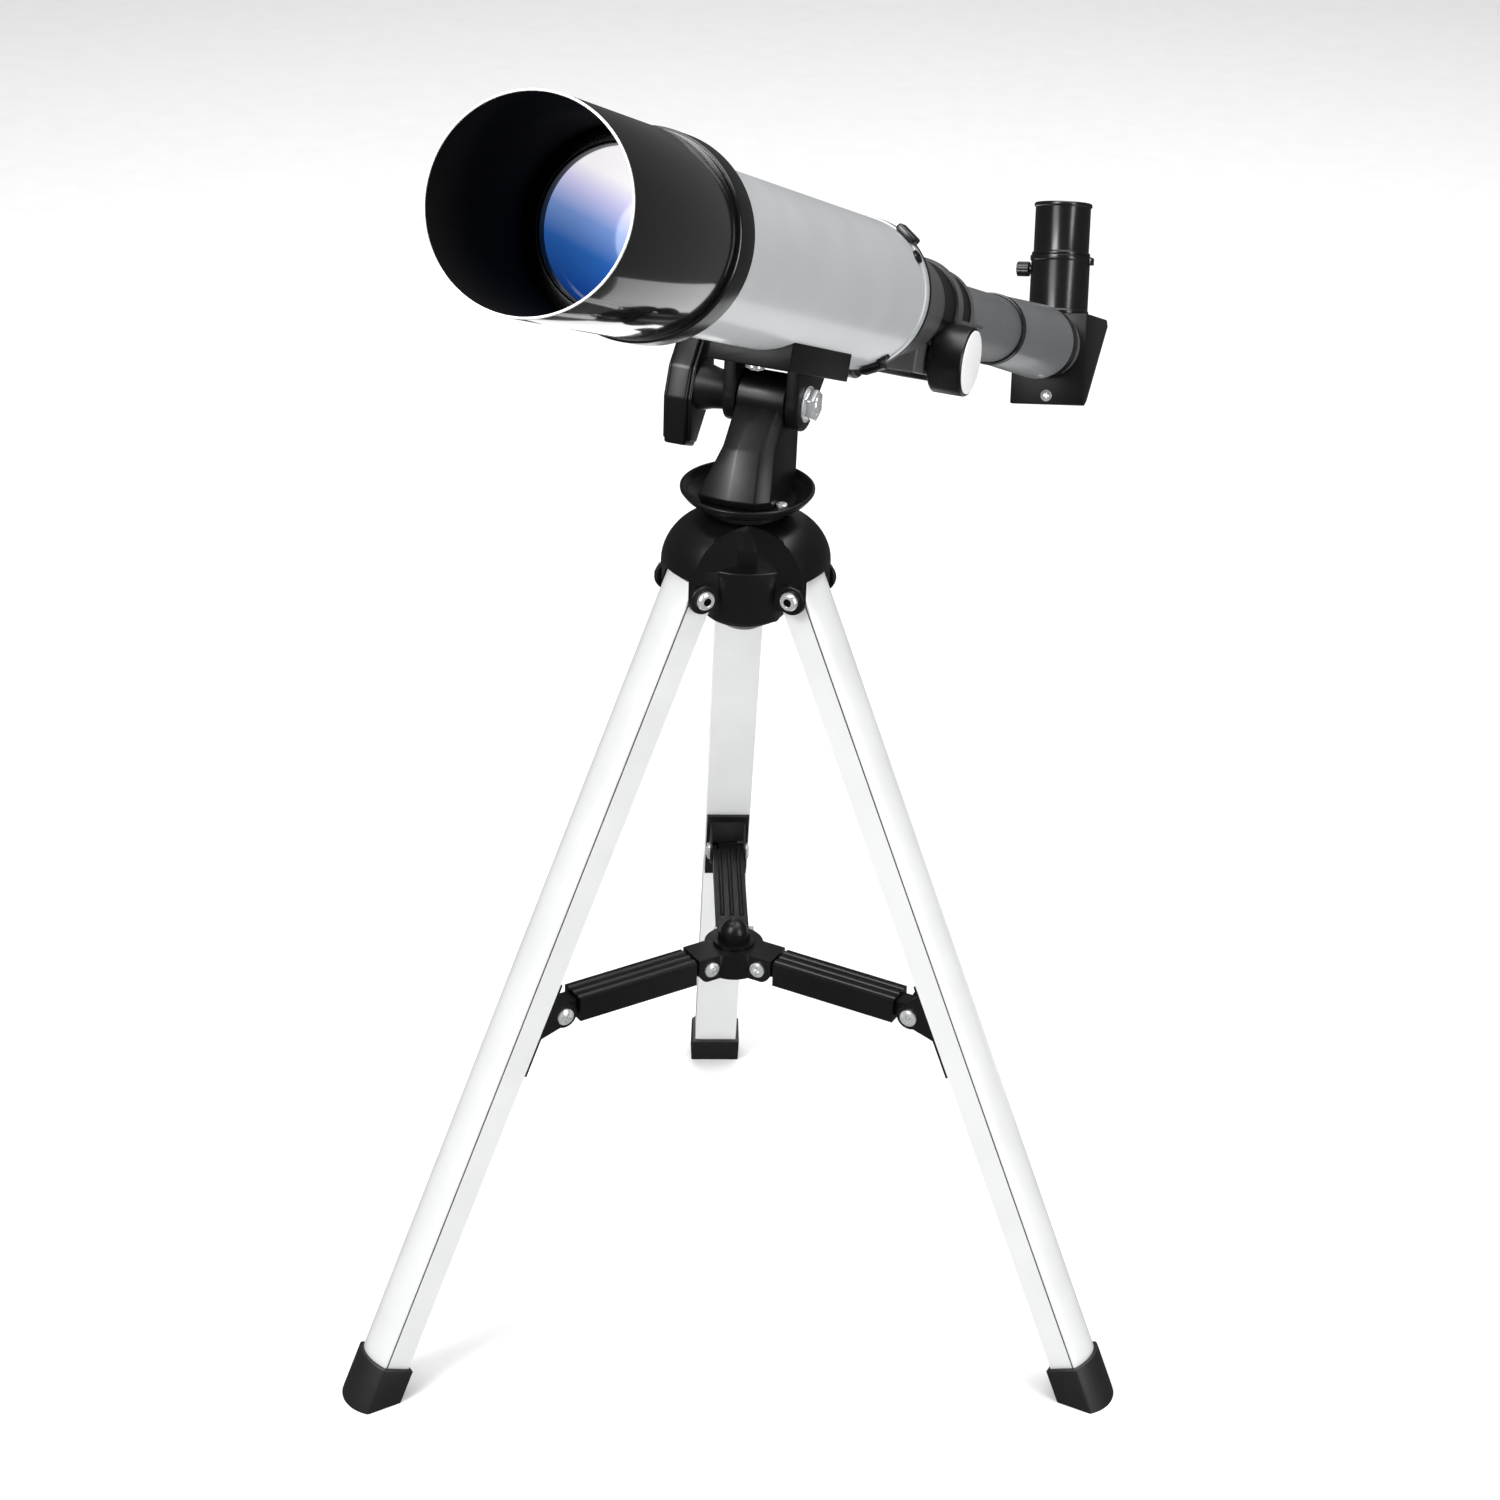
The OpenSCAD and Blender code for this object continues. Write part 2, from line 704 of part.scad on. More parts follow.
module eyepiece() color(black) on_diagonal() translate([holder_s, 0, 0]) rotate_extrude() polygon([
    [barrel_r - run_gap, 17.4], [barrel_r - run_gap, 41.2], [13.3, 41.2], [13.3, 42.4], [12.6, 42.8],
    [12.6, 63], [13.2, 63.4], [13.2, 64.5], [12.8, 65], [8, 65],
    [5.6, 62.4], [5.6, 61], [9.2, 61], [9.2, 52], [11, 52], [11, 17.4]
]);

module eye_lens() color(glass) {
    on_diagonal() translate([holder_s, 0, 54]) intersection() {
        cylinder(r = 9.1, h = 6.9);
        translate([0, 0, 6.9 - 22]) sphere(r = 22);
    }
}

module field_lens() color(glass) {
    on_diagonal() translate([holder_s, 0, 26]) intersection() {
        cylinder(r = 10.95, h = 5);
        translate([0, 0, 5 - 30]) sphere(r = 30);
    }
}

// ---------------------------------------------------------------- assembly

hub();
hinge_screws();
hinge_nuts();
pan_bolt();
friction_washer();
leg_tube(0);  // leg_tube_1
leg_plug(0);  // leg_plug_1
foot(0);  // foot_1
bracket(0);  // bracket_1
bracket_screws(0);  // bracket_screws_1
leg_tube(1);  // leg_tube_2
leg_plug(1);  // leg_plug_2
foot(1);  // foot_2
bracket(1);  // bracket_2
bracket_screws(1);  // bracket_screws_2
leg_tube(2);  // leg_tube_3
leg_plug(2);  // leg_plug_3
foot(2);  // foot_3
bracket(2);  // bracket_3
bracket_screws(2);  // bracket_screws_3
brace_hub();
brace_screws();
brace_nuts();
brace_bolt();
dome_nut();
arm(0);  // arm_1
arm(1);  // arm_2
arm(2);  // arm_3
yoke();
bowl_screw();
saddle();
saddle_screws();
tilt_bolt();
hood();
lens_cell();
crown_lens();
flint_lens();
lens_ring();
main_tube();
baffle();
focuser();
rim_screws();
pinion_cover();
wing_knob();
pinion();
focus_knobs();
knob_discs();
drawtube();
rack();
draw_ring();
end_sleeve();
draw_collar();
diagonal();
prism();
diagonal_screw();
eyepiece_holder();
thumbscrew();
eyepiece();
eye_lens();
field_lens();
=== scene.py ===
import json
import math

import bmesh
import bpy
from mathutils import Matrix, Vector


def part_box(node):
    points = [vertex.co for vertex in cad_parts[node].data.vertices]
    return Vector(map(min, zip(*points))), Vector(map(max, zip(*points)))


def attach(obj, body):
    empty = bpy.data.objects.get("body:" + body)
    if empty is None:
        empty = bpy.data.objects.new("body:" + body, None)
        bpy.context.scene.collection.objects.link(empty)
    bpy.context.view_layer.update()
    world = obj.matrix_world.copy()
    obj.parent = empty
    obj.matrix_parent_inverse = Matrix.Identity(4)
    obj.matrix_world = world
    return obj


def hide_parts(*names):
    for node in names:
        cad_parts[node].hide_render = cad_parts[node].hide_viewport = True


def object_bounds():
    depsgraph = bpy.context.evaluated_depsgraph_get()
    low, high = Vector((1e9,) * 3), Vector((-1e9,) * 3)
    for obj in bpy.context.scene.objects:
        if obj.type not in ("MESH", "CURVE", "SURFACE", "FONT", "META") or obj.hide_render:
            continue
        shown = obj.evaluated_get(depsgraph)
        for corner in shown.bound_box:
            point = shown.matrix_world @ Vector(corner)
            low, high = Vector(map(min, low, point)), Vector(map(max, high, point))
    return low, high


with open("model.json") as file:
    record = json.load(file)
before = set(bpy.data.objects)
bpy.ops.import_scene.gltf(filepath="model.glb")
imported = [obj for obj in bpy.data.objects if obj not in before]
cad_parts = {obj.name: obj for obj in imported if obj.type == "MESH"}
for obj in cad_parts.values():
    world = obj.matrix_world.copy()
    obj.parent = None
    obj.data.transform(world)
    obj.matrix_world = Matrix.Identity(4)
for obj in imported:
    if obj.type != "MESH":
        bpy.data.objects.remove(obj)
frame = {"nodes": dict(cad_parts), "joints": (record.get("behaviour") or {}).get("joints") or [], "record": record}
cad_low, cad_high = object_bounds()
joints = {joint["name"]: joint for joint in frame["joints"]}

MM = 0.001
UP = Vector((0, 0, 1))

# the CAD design's driving dimensions, in millimetres and degrees
SPLAY = 23.5  # legs from the vertical, at rest
AXIS_RISE = 42.7  # tube's axis above the tilt pivot
TUBE_R = 27.5
HOOD_R = 32
HOOD_FRONT = 235
GLASS_FRONT = 163
DRAW_R = 14.2  # focusing tube
BARREL_R = 12.25  # eyepiece fittings
KNOB_S, KNOB_U = -147, -17.2  # focus shaft, along and above the tube's axis
HOLDER_S = -392  # eyepiece holder, along the tube's axis

# gaps between parts that fit into each other, in millimetres
FIT = 0.05
BORE_FIT = 0.1
SLIP_FIT = 0.06


# ---------------------------------------------------------------- places

def place(origin, x, z):
    """Matrix from millimetres along local X, Y and Z to the frame in metres."""
    x, z = Vector(x).normalized(), Vector(z).normalized()
    turn = Matrix((x, z.cross(x), z)).transposed().to_4x4()
    return Matrix.Translation(origin) @ turn @ Matrix.Scale(MM, 4)


def joint_at(name):
    return Vector(joints[name]["pos_m"])


def joint_axis(name):
    return Vector(joints[name]["axis"])


FORWARD = -joint_axis("focus_slide")
RIGHT = -joint_axis("tilt")
TUBE_UP = FORWARD.cross(RIGHT)
PAN_AT = joint_at("pan")
FLOOR_AT = Vector((PAN_AT.x, PAN_AT.y, 0))
TUBE_AT = joint_at("tilt") + TUBE_UP * AXIS_RISE * MM

TRIPOD = place(FLOOR_AT, (1, 0, 0), UP)
YOKE = place(FLOOR_AT, FORWARD - UP * FORWARD.z, UP)
TUBE = place(TUBE_AT, FORWARD, TUBE_UP)
DIAGONAL = place(TUBE_AT, FORWARD, joint_axis("eyepiece_slide"))


def leg_place(leg):
    """X out of the leg's outer face, Y across it, Z up along it, from its hinge."""
    across = joint_axis(f"leg_{leg}_fold")
    out = across.cross(UP)
    tilt = math.radians(SPLAY)
    face = out * math.cos(tilt) + UP * math.sin(tilt)
    along = UP * math.cos(tilt) - out * math.sin(tilt)
    return place(joint_at(f"leg_{leg}_fold"), face, along)


# ---------------------------------------------------------------- materials

FINE_GRAIN, BROAD_GRAIN, BUMP_DEPTH = 0.0006, 0.02, 0.0002  # metres
NOISE_DETAIL = 3.0
NOISE_LOW, NOISE_HIGH = 0.3, 0.7  # where nearly all of the noise's values lie


def nodes_of(material):
    material.use_nodes = True
    return material.node_tree.nodes, material.node_tree.links


def grain(nodes, links, size):
    """Noise with features of the given size in metres."""
    where = nodes.new("ShaderNodeTexCoord")
    noise = nodes.new("ShaderNodeTexNoise")
    noise.inputs["Scale"].default_value = 1 / size
    noise.inputs["Detail"].default_value = NOISE_DETAIL
    links.new(where.outputs["Object"], noise.inputs["Vector"])
    return noise.outputs["Fac"]


def spread(nodes, links, value, low, high):
    """Maps noise onto low to high."""
    ramp = nodes.new("ShaderNodeMapRange")
    ramp.inputs["From Min"].default_value = NOISE_LOW
    ramp.inputs["From Max"].default_value = NOISE_HIGH
    ramp.inputs["To Min"].default_value = low
    ramp.inputs["To Max"].default_value = high
    links.new(value, ramp.inputs["Value"])
    return ramp.outputs["Result"]


def surface(name, colour, rough, metallic=0.0, coat=0.0, relief=0.02, worn=0.04, specular=0.5):
    """Painted, moulded or metal surface with fine relief, uneven gloss and faint tone changes.

    The whole of rough - worn to rough + worn stays on one side of about 0.274. The denoiser treats the
    two sides differently, and a surface that crosses it renders with scratch-like marks.
    """
    material = bpy.data.materials.new(name)
    nodes, links = nodes_of(material)
    shader = nodes["Principled BSDF"]
    shader.inputs["Metallic"].default_value = metallic
    shader.inputs["Coat Weight"].default_value = coat
    shader.inputs["Coat Roughness"].default_value = rough * 0.4
    shader.inputs["Specular IOR Level"].default_value = specular
    fine = grain(nodes, links, FINE_GRAIN)
    broad = grain(nodes, links, BROAD_GRAIN)
    tone = nodes.new("ShaderNodeMix")
    tone.data_type = "RGBA"
    tone.inputs["A"].default_value = (*colour, 1)
    tone.inputs["B"].default_value = (*[min(1, c * 1.12 + 0.002) for c in colour], 1)
    links.new(broad, tone.inputs["Factor"])
    links.new(tone.outputs["Result"], shader.inputs["Base Color"])
    links.new(spread(nodes, links, broad, rough - worn, rough + worn), shader.inputs["Roughness"])
    bump = nodes.new("ShaderNodeBump")
    bump.inputs["Strength"].default_value = relief
    bump.inputs["Distance"].default_value = BUMP_DEPTH
    links.new(fine, bump.inputs["Height"])
    links.new(bump.outputs["Normal"], shader.inputs["Normal"])
    return material


PALETTE = {
    "black_plastic": surface("satin_black_plastic", (0.0035, 0.0035, 0.004), 0.33, relief=0.05, specular=0.4),
    "steel": surface("bright_steel", (0.85, 0.86, 0.87), 0.22, metallic=0.7),
    "leg_aluminium": surface("pale_aluminium", (0.7, 0.705, 0.71), 0.34, metallic=0.1, coat=0.2),
    "rubber": surface("black_rubber", (0.008, 0.008, 0.009), 0.5, relief=0.12),
    "black_steel": surface("black_steel", (0.004, 0.004, 0.0045), 0.32),
    "hood_black": surface("gloss_black", (0.003, 0.003, 0.0035), 0.1, coat=0.8, worn=0.02),
    "black_metal": surface("satin_black_metal", (0.005, 0.005, 0.006), 0.22, worn=0.03),
    "optical_glass": surface("coated_glass", (0.05, 0.12, 0.5), 0.06, coat=1.0, worn=0.01),
    "tube_silver": surface("silver_paint", (0.46, 0.475, 0.485), 0.33, metallic=0.1, coat=0.5),
    "brass": surface("machined_brass", (0.78, 0.6, 0.28), 0.33, metallic=1.0),
    "knob_plastic": surface("knob_plastic", (0.003, 0.003, 0.0035), 0.33),
    # the discs' own silver, made near white and barely metallic so that it also carries a painted reflection
    "polished_disc": surface("polished_disc", (0.95, 0.95, 0.96), 0.33, metallic=0.1),
    "grey_metal": surface("grey_metal", (0.15, 0.156, 0.162), 0.33, metallic=0.2, coat=0.3),
}

# painted shade: dark grey in the legs' grooves and inside their hollows
LEG_SHADE_GREY = surface("painted_leg_shade", (0.09, 0.09, 0.09), 0.6)
FOCUSER_GREY = surface("focuser_grey", (0.075, 0.075, 0.078), 0.33)
# painted highlight: light grey on the hood's lip stands for the bright line along its gloss black rim
PAINTED_LIP_HIGHLIGHT = surface("hood_lip_painted_highlight", (0.8, 0.8, 0.8), 0.22, metallic=0.4)
# matt black: the hood's real matt inside, and painted shade in the hinge screws' driver recesses
MATTE_BLACK = surface("matte_black", (0.002, 0.002, 0.002), 0.85, specular=0.1)

for part in frame["record"]["subparts"]:
    node = frame["nodes"][part["node"]]
    node.data.materials.clear()
    node.data.materials.append(PALETTE[part["material_slot"]])


# ---------------------------------------------------------------- mesh helpers

ON_AXIS = 1e-4  # a lathe point nearer than this closes the shape on its axis
NEARLY_STRAIGHT = math.radians(165)


def rounded(outline, radius, bits=3):
    """Closed outline with its corners rounded off; corners on the turning axis stay sharp."""
    points = []
    corners = [Vector(p) for p in outline]
    for before, corner, after in zip(corners[-1:] + corners[:-1], corners, corners[1:] + corners[:1]):
        into, away = before - corner, after - corner
        if corner.y <= 0 or into.angle(away) > NEARLY_STRAIGHT:
            points.append(corner)
            continue
        reach = min(radius, into.length / 2.2, away.length / 2.2)
        start = corner + into.normalized() * reach
        end = corner + away.normalized() * reach
        for bit in range(bits + 1):
            t = bit / bits
            points.append(start * (1 - t) ** 2 + corner * 2 * t * (1 - t) + end * t ** 2)
    return points


def lathe(outline, fillet=0.35, steps=128):
    """Closed outline of (position, radius) turned about X."""
    shape = bmesh.new()
    rings = []
    for x, r in rounded(outline, fillet):
        if r < ON_AXIS:
            rings.append([shape.verts.new((x, 0, 0))])
        else:
            turn = [2 * math.pi * step / steps for step in range(steps)]
            rings.append([shape.verts.new((x, r * math.sin(a), r * math.cos(a))) for a in turn])
    for ring, other in zip(rings, rings[1:] + rings[:1]):
        for step in range(steps):
            after = (step + 1) % steps
            if len(ring) == 1 and len(other) == 1:
                break
            if len(ring) == 1:
                shape.faces.new((ring[0], other[after], other[step]))
            elif len(other) == 1:
                shape.faces.new((ring[step], ring[after], other[0]))
            else:
                shape.faces.new((ring[step], ring[after], other[after], other[step]))
    return shape


def bevel(shape, width, bits=2, sharper=25):
    """Rounds the edges whose faces meet at more than the given angle."""
    shape.normal_update()
    edges = [e for e in shape.edges if len(e.link_faces) == 2 and e.calc_face_angle() > math.radians(sharper)]
    bmesh.ops.bevel(shape, geom=edges, offset=width, segments=bits, profile=0.5, affect="EDGES",
                    clamp_overlap=True)
    return shape


def slab(outline, low, high, width=0.5, bits=2, sharper=25):
    """Outline of (x, z) points from Y = low to Y = high, with rounded edges."""
    shape = bmesh.new()
    face = shape.faces.new([shape.verts.new((x, low, z)) for x, z in outline])
    made = bmesh.ops.extrude_face_region(shape, geom=[face])
    far_side = [v for v in made["geom"] if isinstance(v, bmesh.types.BMVert)]
    bmesh.ops.translate(shape, vec=(0, high - low, 0), verts=far_side)
    bmesh.ops.recalc_face_normals(shape, faces=shape.faces[:])
    return bevel(shape, width, bits, sharper)


def hexagon(radius, turn=0):
    """Corners of a six-sided outline."""
    angles = [math.radians(60 * n + turn) for n in range(6)]
    return [(radius * math.cos(a), radius * math.sin(a)) for a in angles]


def turned(shape, angle, axis):
    shape.transform(Matrix.Rotation(math.radians(angle), 4, axis))
    return shape


def shifted(shape, x=0, y=0, z=0):
    shape.transform(Matrix.Translation((x, y, z)))
    return shape


def merged(*shapes):
    """One bmesh that holds all the given ones."""
    whole = bmesh.new()
    for shape in shapes:
        mesh = bpy.data.meshes.new("part")
        shape.to_mesh(mesh)
        whole.from_mesh(mesh)
        shape.free()
        bpy.data.meshes.remove(mesh)
    return whole


def combined(shape, other, operation):
    """Boolean of two closed bmeshes: UNION, DIFFERENCE or INTERSECT."""
    pair = []
    for part in (shape, other):
        mesh = bpy.data.meshes.new("part")
        bmesh.ops.recalc_face_normals(part, faces=part.faces[:])
        part.to_mesh(mesh)
        part.free()
        pair.append(bpy.data.objects.new("part", mesh))
        bpy.context.scene.collection.objects.link(pair[-1])
    cut = pair[0].modifiers.new("cut", "BOOLEAN")
    cut.operation = operation
    cut.object = pair[1]
    cut.solver = "EXACT"
    bpy.context.view_layer.update()
    result = bmesh.new()
    result.from_mesh(pair[0].evaluated_get(bpy.context.evaluated_depsgraph_get()).to_mesh())
    for part in pair:
        bpy.data.objects.remove(part)
    return result


def add_piece(name, shape, where, body, slot, stands_for=(), crease=35, extra=None, look=None):
    """Makes a piece from a bmesh in local millimetres.

    extra is a second material and the test that picks its faces by their centre, in local millimetres.
    look is a material other than the slot's own.
    """
    bmesh.ops.recalc_face_normals(shape, faces=shape.faces[:])
    if extra:
        for face in shape.faces:
            face.material_index = int(extra[1](face.calc_center_median()))
    shape.transform(where)
    mesh = bpy.data.meshes.new(name)
    shape.to_mesh(mesh)
    shape.free()
    mesh.materials.append(look or PALETTE[slot])
    if extra:
        mesh.materials.append(extra[0])
    mesh.shade_smooth()
    mesh.set_sharp_from_angle(angle=math.radians(crease))
    piece = bpy.data.objects.new(name, mesh)
    bpy.context.scene.collection.objects.link(piece)
    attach(piece, body)
    if stands_for:
        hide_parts(*stands_for)


def away_from_axis(point):
    return math.hypot(point.y, point.z)


# ---------------------------------------------------------------- telescope tube

def hood():
    """Gloss black shade, matt inside, with a thin rolled lip coloured light grey as a painted highlight."""
    lip_back = HOOD_FRONT - 0.6
    shape = lathe([(147.6, 30.4), (147.6, 31.6), (149.2, HOOD_R), (lip_back, HOOD_R),
                   (lip_back, HOOD_R - 0.7), (168, HOOD_R - 1.5), (166, 30.4)], 0.2, 192)

    def inside(at):
        return 149 < at.x < lip_back - 0.3 and away_from_axis(at) < HOOD_R - 0.85

    add_piece("dew_hood", shape, TUBE, "telescope", "hood_black", ["hood"], extra=(MATTE_BLACK, inside))
    lip = lathe([(lip_back, HOOD_R - 0.8), (lip_back, HOOD_R), (HOOD_FRONT, HOOD_R),
                 (HOOD_FRONT, HOOD_R - 0.8)], 0.25, 192)
    add_piece("hood_lip", lip, TUBE, "telescope", "steel", look=PAINTED_LIP_HIGHLIGHT)


def lens_cell():
    shape = lathe([(134, TUBE_R + FIT), (134, 32.4), (134.6, 33), (146.4, 33), (147, 32.4), (147, 30.2),
                   (165.5, 30.2), (165.5, 26), (150, 26), (150, 23.6), (141, 23.6), (141, TUBE_R + FIT)],
                  0.25, 192)
    add_piece("objective_cell", shape, TUBE, "telescope", "black_metal", ["lens_cell"])
    ring = lathe([(160.6, 25.9), (165, 25.9), (165, 25.3), (162.2, 24.9)], 0.15, 160)
    add_piece("objective_ring", ring, TUBE, "telescope", "black_metal", ["lens_ring"])


# height across the lens, from 0 low on it to 1 high on it, and the colour there: the coating's blue low on it, a
# painted reflection from lilac to near white high on it
LENS_TINT_AND_PAINTED_REFLECTION = [(0, (0.004, 0.035, 0.2)), (0.28, (0.02, 0.1, 0.36)), (0.48, (0.17, 0.28, 0.6)),
           (0.66, (0.62, 0.6, 0.88)), (0.8, (1, 0.97, 1))]
LENS_GRADIENT_BELOW, LENS_GRADIENT_ABOVE = 0.024, 0.022  # metres from the lens's middle
# painted glow: the lens gives off its colour as light, though it is no lamp
PAINTED_LENS_GLOW = 0.85


def lens_tint_and_painted_reflection():
    """Multicoated glass, deep blue low on the lens, with a painted reflection from lilac to near white high on it
    and a painted glow: the lens emits its own colour.
    """
    material = surface("lens_tint_and_painted_reflection", (0.1, 0.2, 0.6), 0.08, coat=0.5, worn=0.01)
    nodes, links = nodes_of(material)
    shader = nodes["Principled BSDF"]
    middle = TUBE_AT + FORWARD * GLASS_FRONT * MM
    # the painted reflection lies towards the top of the lens and a little to its right
    across = (TUBE_UP + RIGHT * 0.3).normalized()
    where = nodes.new("ShaderNodeTexCoord")
    along = nodes.new("ShaderNodeVectorMath")
    along.operation = "DOT_PRODUCT"
    along.inputs[1].default_value = across
    links.new(where.outputs["Object"], along.inputs[0])
    span = nodes.new("ShaderNodeMapRange")
    span.inputs["From Min"].default_value = middle.dot(across) - LENS_GRADIENT_BELOW
    span.inputs["From Max"].default_value = middle.dot(across) + LENS_GRADIENT_ABOVE
    links.new(along.outputs["Value"], span.inputs["Value"])
    tint_and_reflection = nodes.new("ShaderNodeValToRGB")
    while len(tint_and_reflection.color_ramp.elements) < len(LENS_TINT_AND_PAINTED_REFLECTION):
        tint_and_reflection.color_ramp.elements.new(0.5)
    for element, (position, colour) in zip(tint_and_reflection.color_ramp.elements, LENS_TINT_AND_PAINTED_REFLECTION):
        element.position = position
        element.color = (*colour, 1)
    links.new(span.outputs["Result"], tint_and_reflection.inputs["Fac"])
    links.new(tint_and_reflection.outputs["Color"], shader.inputs["Base Color"])
    links.new(tint_and_reflection.outputs["Color"], shader.inputs["Emission Color"])
    shader.inputs["Emission Strength"].default_value = PAINTED_LENS_GLOW
    return material


def objective():
    """Front lens: a shallow dome of glass with a bluish coating, a painted reflection high on it and a painted
    glow.
    """
    radius, rim, back = 130, 25.85, 155.6
    rise = [rim * step / 24 for step in range(25)]
    dome = [(GLASS_FRONT - radius + math.sqrt(radius ** 2 - r ** 2), r) for r in rise]
    shape = lathe(dome + [(back, rim), (back, 0)], 0.1, 160)
    add_piece("objective_lens", shape, TUBE, "telescope", "optical_glass", ["crown_lens"],
              look=lens_tint_and_painted_reflection())


def main_tube():
    back = -78.3
    shape = lathe([(back, TUBE_R - 1.2), (back, TUBE_R + 0.6), (back + 4, TUBE_R + 0.6),
                   (back + 4.4, TUBE_R), (140.9, TUBE_R), (140.9, TUBE_R - 1.2)], 0.3, 192)
    add_piece("optical_tube", shape, TUBE, "telescope", "tube_silver", ["main_tube"])


def focuser():
    """Grey barrel with a black rim ring and painted shade on its two narrower necks, the rack's housing under it,
    and its lugs on the tube's rim.
    """
    barrel = lathe([
        (-60, TUBE_R - 1.3), (-78.35, TUBE_R - 1.3), (-78.35, 28.2), (-80.6, 28.2), (-82.5, 26), (-127, 20.4),
        (-128, 18.9), (-148, 18.9), (-149, 20), (-156, 20), (-158, 17.4), (-175, 17.2), (-176, 17.9),
        (-180, 17.9), (-180, DRAW_R + BORE_FIT), (-60, DRAW_R + BORE_FIT)
    ], 0.4, 160)
    # black on the flange ring at the tube's rim; painted shade, black, on the two narrower necks where the barrel
    # steps in
    rim_and_shaded_necks = ((-82, -60), (-149, -127.3), (-175.6, -157))

    def in_black_rim_or_shaded_neck(at):
        return any(low < at.x < high for low, high in rim_and_shaded_necks)

    add_piece("focuser_barrel", barrel, TUBE, "telescope", "black_plastic", ["focuser"],
              extra=(PALETTE["black_plastic"], in_black_rim_or_shaded_neck), look=FOCUSER_GREY)
    housing = slab([(-200, -25), (-125, -25), (-125, -2), (-200, -2)], -13.5, 13.5, 1.2, 3)
    wings = slab([(-197, -2.9), (-128, -2.9), (-128, -1.4), (-197, -1.4)], -17.6, 17.6, 0.4, 2)
    housing = combined(housing, wings, "UNION")
    bore = lathe([(-260, 0), (-260, DRAW_R + BORE_FIT), (-60, DRAW_R + BORE_FIT), (-60, 0)], 0, 96)
    housing = combined(housing, bore, "DIFFERENCE")
    for side in (90, -90):
        pocket = turned(lathe([(14.75, 0), (14.75, 14.1), (40, 14.1), (40, 0)], 0, 64), side, "Z")
        housing = combined(housing, shifted(pocket, KNOB_S, 0, KNOB_U), "DIFFERENCE")
    add_piece("rack_housing", housing, TUBE, "telescope", "black_plastic", look=FOCUSER_GREY)
    for angle in (35, -53, 155):
        lug = slab([(-79, 27.6), (-72, 27.6), (-72, 30.4), (-79, 30.4)], -4.5, 4.5, 0.9, 3)
        add_piece(f"rim_lug_{angle % 360}", turned(lug, -angle, "X"), TUBE, "telescope", "black_metal")


def focus_knobs():
    for side, name in ((1, "right"), (-1, "left")):
        knob = lathe([(15.1, 1.6), (15.1, 12.6), (16, 13.5), (28.1, 13.5), (28.9, 12.9), (28.9, 12.4),
                      (28.1, 12.4), (28.1, 1.6)], 0.35, 128)
        knob = shifted(turned(knob, 90 * side, "Z"), KNOB_S, 0, KNOB_U)
        add_piece(f"focus_knob_{name}", knob, TUBE, "focus_shaft", "knob_plastic", ["focus_knobs"])
        disc = lathe([(28.15, 0), (28.15, 12.3), (29.2, 12.3), (29.3, 11.8), (29.3, 0)], 0.2, 96)
        disc = shifted(turned(disc, 90 * side, "Z"), KNOB_S, 0, KNOB_U)
        add_piece(f"knob_disc_{name}", disc, TUBE, "focus_shaft", "polished_disc", ["knob_discs"])


def drawtube():
    inner = lathe([(-75, DRAW_R - 1.3), (-75, DRAW_R), (-302, DRAW_R), (-302, DRAW_R - 1.3)], 0.2, 160)
    add_piece("focusing_tube", inner, TUBE, "drawtube", "grey_metal", ["drawtube"])
    ring = lathe([(-270.5, DRAW_R + FIT), (-270.5, 15.2), (-275.5, 15.2), (-275.5, DRAW_R + FIT)], 0.3, 128)
    add_piece("black_ring", ring, TUBE, "drawtube", "black_metal", ["draw_ring"])
    sleeve = lathe([(-275.6, DRAW_R + FIT), (-275.6, 14.9), (-354, 16.6), (-356, 16.6),
                    (-356, BARREL_R + FIT), (-302.1, BARREL_R + FIT), (-302.1, DRAW_R + FIT)], 0.3, 160)
    add_piece("tapered_sleeve", sleeve, TUBE, "drawtube", "grey_metal", ["end_sleeve"])
    collar = lathe([(-356.1, BARREL_R + FIT), (-356.1, 16.2), (-366, 16.2), (-368, 15.6),
                    (-368, BARREL_R + FIT)], 0.4, 128)
    add_piece("end_collar", collar, TUBE, "drawtube", "black_metal", ["draw_collar"])


# ---------------------------------------------------------------- diagonal and eyepiece

def upright(shape):
    """Turns a lathed shape from X to Z."""
    return turned(shape, -90, "Y")


def diagonal():
    half_width = 17
    body = slab([(-378, 14.5), (-419, 14.5), (-421.5, 11.5), (-386, -25), (-382, -27), (-378, -27)],
                -half_width, half_width, 0.6)
    add_piece("diagonal_body", body, DIAGONAL, "diagonal", "black_plastic", ["diagonal"])
    neck = lathe([(-325, 10.2), (-325, BARREL_R - SLIP_FIT), (-368.3, BARREL_R - SLIP_FIT), (-368.3, 14.4),
                  (-378.5, 14.4), (-378.5, 10.2)], 0.4, 128)
    add_piece("diagonal_neck", neck, DIAGONAL, "diagonal", "grey_metal")


def eyepiece_holder():
    tube = lathe([(14.55, 10.2), (14.55, 13.8), (16, 13.8), (16.6, 13.4), (38.6, 13.4), (39, 13.9),
                  (41, 13.9), (41, BARREL_R + FIT), (17, BARREL_R + FIT), (17, 10.2)], 0.25, 128)
    add_piece("holder_tube", shifted(upright(tube), HOLDER_S), DIAGONAL, "diagonal", "black_metal",
              ["eyepiece_holder"])
    tab = slab([(HOLDER_S - 2, 37.2), (HOLDER_S + 2, 37.2), (HOLDER_S + 2, 40.6), (HOLDER_S - 2, 40.6)],
               13.2, 15.2, 0.4)
    add_piece("holder_tab", tab, DIAGONAL, "diagonal", "black_metal")


